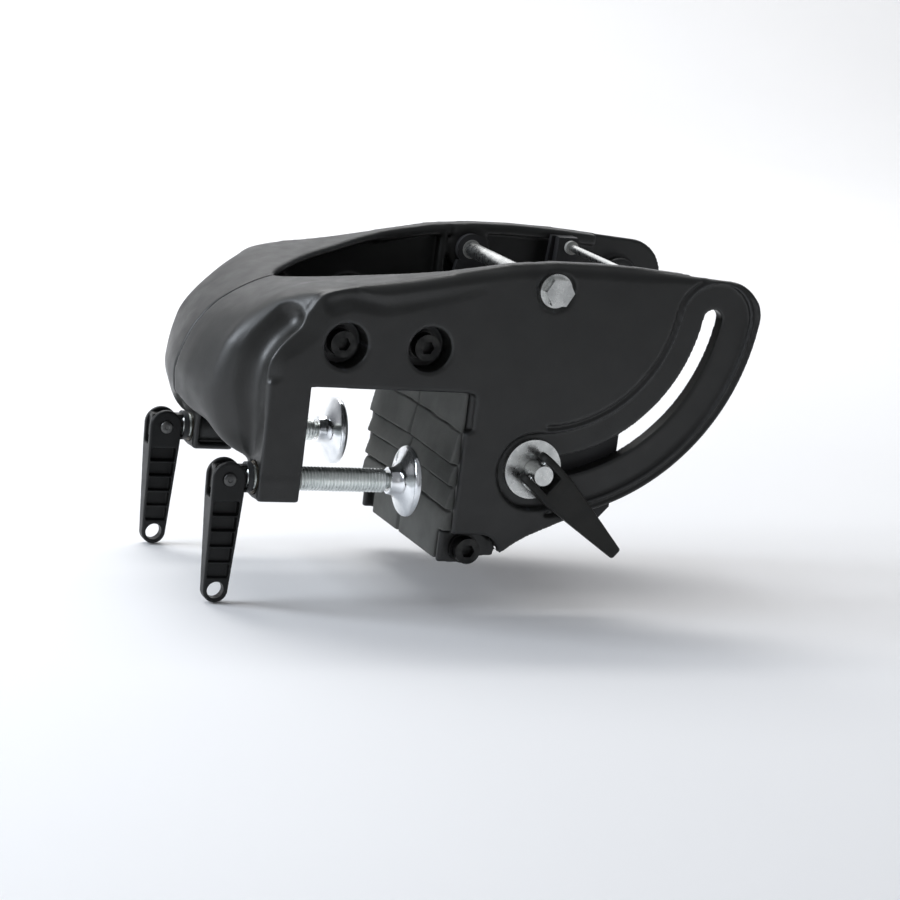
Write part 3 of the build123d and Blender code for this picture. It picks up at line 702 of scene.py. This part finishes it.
def tang_mesh(name):
    """The flat at the screw's front end, about the screw's own axis."""
    x, y, z, origin = grid((-122, -5, -8), (-102, 5, 8), 0.45)
    tang = box_field(x, y, z, (HANDLE_PIVOT - 7, -2.9, -6), (-103.2, 2.9, 6), 0.6)
    tang = meet(tang, np.hypot(y, z) - 6.8, 0.5)
    tang = cut(tang, np.hypot(x - HANDLE_PIVOT, z) - 2.52, 0.2)
    points, quads = surface_net(np.ascontiguousarray(tang, np.float32), origin, 0.45)
    # painted shade: the tang takes dark steel, darker than the rest of the spindle, for the shade between
    # the handle's fork arms
    return add_object(name, points, quads, dark_steel)


def join_objects(target, other):
    """Merge one object's mesh into another's."""
    bpy.ops.object.select_all(action="DESELECT")
    other.select_set(True)
    target.select_set(True)
    bpy.context.view_layer.objects.active = target
    bpy.ops.object.join()


def handle_mesh(step):
    """Folding handle about its pivot, hanging down: fork, ladder pockets and an eye at the tip."""
    x, y, z, origin = grid((-10, -8, -HANDLE_LENGTH - 8), (10, 8, 10), step)
    head = np.hypot(x, z) - 8.4
    eye = np.hypot(x, z + HANDLE_LENGTH) - 6.3
    lean = 2.1 / HANDLE_LENGTH
    blade = np.maximum(np.abs(x) - 8.4 - lean * z, between(z, -HANDLE_LENGTH, 0.0))
    outline = np.minimum(np.minimum(head, eye), blade)
    half_thick = FORK_HALF - 3.0 * np.clip((-12 - z) / 44.0, 0, 1)
    body = meet(outline, np.abs(y) - half_thick, 0.9)
    body = cut(body, box_field(x, y, z, (-12, -FORK_SLOT, -9.5), (12, FORK_SLOT, 14), 0.8), 0.4)
    for k in range(5):
        top = -11.0 - 7.9 * k
        width = 6.5 - 0.3 * k
        for near, far in ((-12.0, -1.3), (1.3, 12.0)):
            body = cut(body, box_field(x, y, z, (-width, near, top - 7), (width, far, top), 0.7), 0.35)
    body = cut(body, np.hypot(x, z + HANDLE_LENGTH) - TIP_HOLE_R, 0.5)
    body = np.maximum(body, 2.55 - np.hypot(x, z))
    return surface_net(np.ascontiguousarray(body, np.float32), origin, step)


RIVET_PROFILE = (
    (-7.1, 0.05), (-7.1, 1.0), (-7.4, 1.3), (-7.4, 2.6), (-7.1, 3.1), (-6.8, 3.25), (-6.3, 3.25),
    (-6.3, 2.5), (6.3, 2.5), (6.3, 3.25), (6.8, 3.25), (7.1, 3.1), (7.4, 2.6), (7.4, 1.3), (7.1, 1.0),
    (7.1, 0.05),
)


def rivet(name):
    """Hollow-ended rivet across the fork, about its own middle."""
    obj = turned(name, RIVET_PROFILE, rivet_steel, 48)
    obj.data.transform(Matrix.Rotation(math.radians(90), 4, "Z"))
    return obj


handle_points, handle_quads = handle_mesh(0.5)
for side_name, side in SIDES.items():
    piece = pressure_disc(f"{side_name}_pressure_disc", side)
    place_piece(piece, f"{side_name}_swivel_disc")
    piece = threaded_spindle(f"{side_name}_clamp_screw", side)
    place_piece(piece, f"{side_name}_spindle")
    place = np.array([HANDLE_PIVOT, side * SCREW_Y, SCREW_Z])
    piece = add_object(f"{side_name}_folding_handle", handle_points + place, handle_quads, handle_plastic)
    place_piece(piece, f"{side_name}_handle")
    piece = move(rivet(f"{side_name}_rivet"), *place)
    place_piece(piece, f"{side_name}_handle_pin")


# ---------------------------------------------------------------- cam lever
def lever_piece(step):
    """The cam lever, modelled flat (x along it, y across, z outwards) and turned into place."""
    x, y, z, origin = grid((-9, -11, -8.5), (LEVER_LENGTH + 2, 11, 9), step)
    hub = np.hypot(x, z) - 6.6
    inner = (-6.0 - z + 5.0 * x / LEVER_LENGTH) * 0.99
    outer = np.maximum(z - 6.6, (z - 6.6 + 3.6 * (x - 14.0) / 48.0) * 0.99)
    wedge = meet(meet(inner, outer, 1.6), between(x, 0.0, LEVER_LENGTH), 1.2)
    side_body = np.minimum(hub, wedge)
    reach = 9.2 - 6.0 * np.clip((x - 12.0) / (LEVER_LENGTH - 12.0), 0, 1)
    plan = np.abs(y) - reach
    body = meet(side_body, plan * 0.99, 1.3)
    body = cut(body, box_field(x, y, z, (-14, -5.35, -14), (8, 5.35, 14), 0.8), 0.5)
    body = np.maximum(body, 3.05 - np.hypot(x, z))
    points, quads = surface_net(np.ascontiguousarray(body, np.float32), origin, step)
    turn = math.radians(LEVER_ANGLE)
    along = np.array([math.cos(turn), 0, math.sin(turn)])
    across = np.array([-math.sin(turn), 0, math.cos(turn)])
    out = np.array([0, -1, 0])
    if np.linalg.det(np.stack([along, across, out])) < 0:
        quads = quads[:, ::-1]
    points = points @ np.stack([along, across, out]) + np.array([PIVOT_X, BARREL_Y, PIVOT_Z - SLOT_R])
    return add_object("cam_lever_blade", points, quads, lever_plastic)


place_piece(lever_piece(0.55), "cam_lever")


# ---------------------------------------------------------------- finishes on the CAD pieces
FINISHES = {
    zinc_steel: ("pivot_bolt", "pivot_washers", "pivot_nut", "yoke_cross_rod", "lock_spacer_tube",
                 "lock_bolt", "cam_pin", "port_lock_washer", "starboard_lock_washer",
                 "port_disc_snap_ring", "starboard_disc_snap_ring"),
    dark_steel: ("tie_bolts", "tie_bolt_washers", "tie_bolt_nuts"),
    # painted shade: the screw collars are black, standing in for the shadow on the spindle there
    handle_plastic: ("port_screw_collar", "starboard_screw_collar"),
    bush_metal: ("port_thread_bush", "starboard_thread_bush"),
    bush_plastic: ("pivot_bushes", "cross_rod_collars"),
    yoke_paint: ("tilt_yoke",),
}
for finish, names in FINISHES.items():
    for node_name in names:
        mesh = nodes[node_name].data
        mesh.materials.clear()
        mesh.materials.append(finish)


# ---------------------------------------------------------------- studio
def studio():
    """Pale floor that sweeps up behind the object, soft lights and the camera."""
    floor_z = cad_box[0][2] - 0.0006
    sweep = [(-3.2, 0.0), (1.6, 0.0)]
    for k in range(1, 17):
        angle = math.radians(90 * k / 16)
        sweep.append((1.6 + 1.2 * math.sin(angle), 1.2 - 1.2 * math.cos(angle)))
    sweep.append((2.8, 5.0))
    verts = [(w, y, floor_z + h) for y, h in sweep for w in (-5.0, 5.0)]
    faces = [(2 * k, 2 * k + 1, 2 * k + 3, 2 * k + 2) for k in range(len(sweep) - 1)]
    paper = Nodes("studio_paper")
    paper.link(
        paper.blend(paper.noise(3.0, 2), (0.86, 0.86, 0.865), (0.90, 0.90, 0.905)),
        paper.shader.inputs["Base Color"],
    )
    paper.shader.inputs["Roughness"].default_value = 0.95
    paper.shader.inputs["Specular IOR Level"].default_value = 0.1
    floor = add_object("studio_floor", np.array(verts) / MM, faces, paper.material)

    def lamp(name, place, target, size, power, colour=(1, 1, 1)):
        data = bpy.data.lights.new(name, "AREA")
        data.shape = "RECTANGLE"
        data.size, data.size_y = size
        data.energy = power
        data.color = colour
        obj = bpy.data.objects.new(name, data)
        bpy.context.scene.collection.objects.link(obj)
        direction = np.array(target, float) - np.array(place, float)
        obj.rotation_euler = Vector(direction).to_track_quat("-Z", "Y").to_euler()
        obj.location = place

    lamp("key_left", (-1.4, 0.1, 0.75), (0, 0, 0), (0.7, 0.9), 21, (0.86, 0.92, 1.0))
    lamp("top", (-0.2, 0.9, 1.5), (0, 0, 0), (1.2, 1.0), 12)
    lamp("back_wall", (0.3, 1.2, 2.2), (0.3, 2.8, 0.4), (3.0, 1.0), 50)
    lamp("camera_fill", (-0.9, -1.6, 0.5), (0, 0, 0), (1.0, 1.0), 0.6)

    world = bpy.data.worlds.new("studio_world")
    bpy.context.scene.world = world
    world.use_nodes = True
    background = world.node_tree.nodes["Background"]
    background.inputs["Color"].default_value = (0.93, 0.95, 1.0, 1.0)
    background.inputs["Strength"].default_value = 0.26
    bpy.context.scene.view_settings.view_transform = "Standard"

    data = bpy.data.cameras.new("camera")
    data.lens, data.sensor_width = 120.0, 36.0
    camera = bpy.data.objects.new("camera", data)
    bpy.context.scene.collection.objects.link(camera)
    forward = np.array([0.393, 0.894, -0.217])
    forward /= np.linalg.norm(forward)
    up = np.array([-0.028, 0.247, 0.969])
    up -= up.dot(forward) * forward
    up /= np.linalg.norm(up)
    right = np.cross(forward, up)
    place = (-0.5784, -1.3708, 0.2894)
    rows = [[right[k], up[k], -forward[k], place[k]] for k in range(3)] + [[0, 0, 0, 1]]
    camera.matrix_world = Matrix(rows)
    bpy.context.scene.camera = camera


studio()
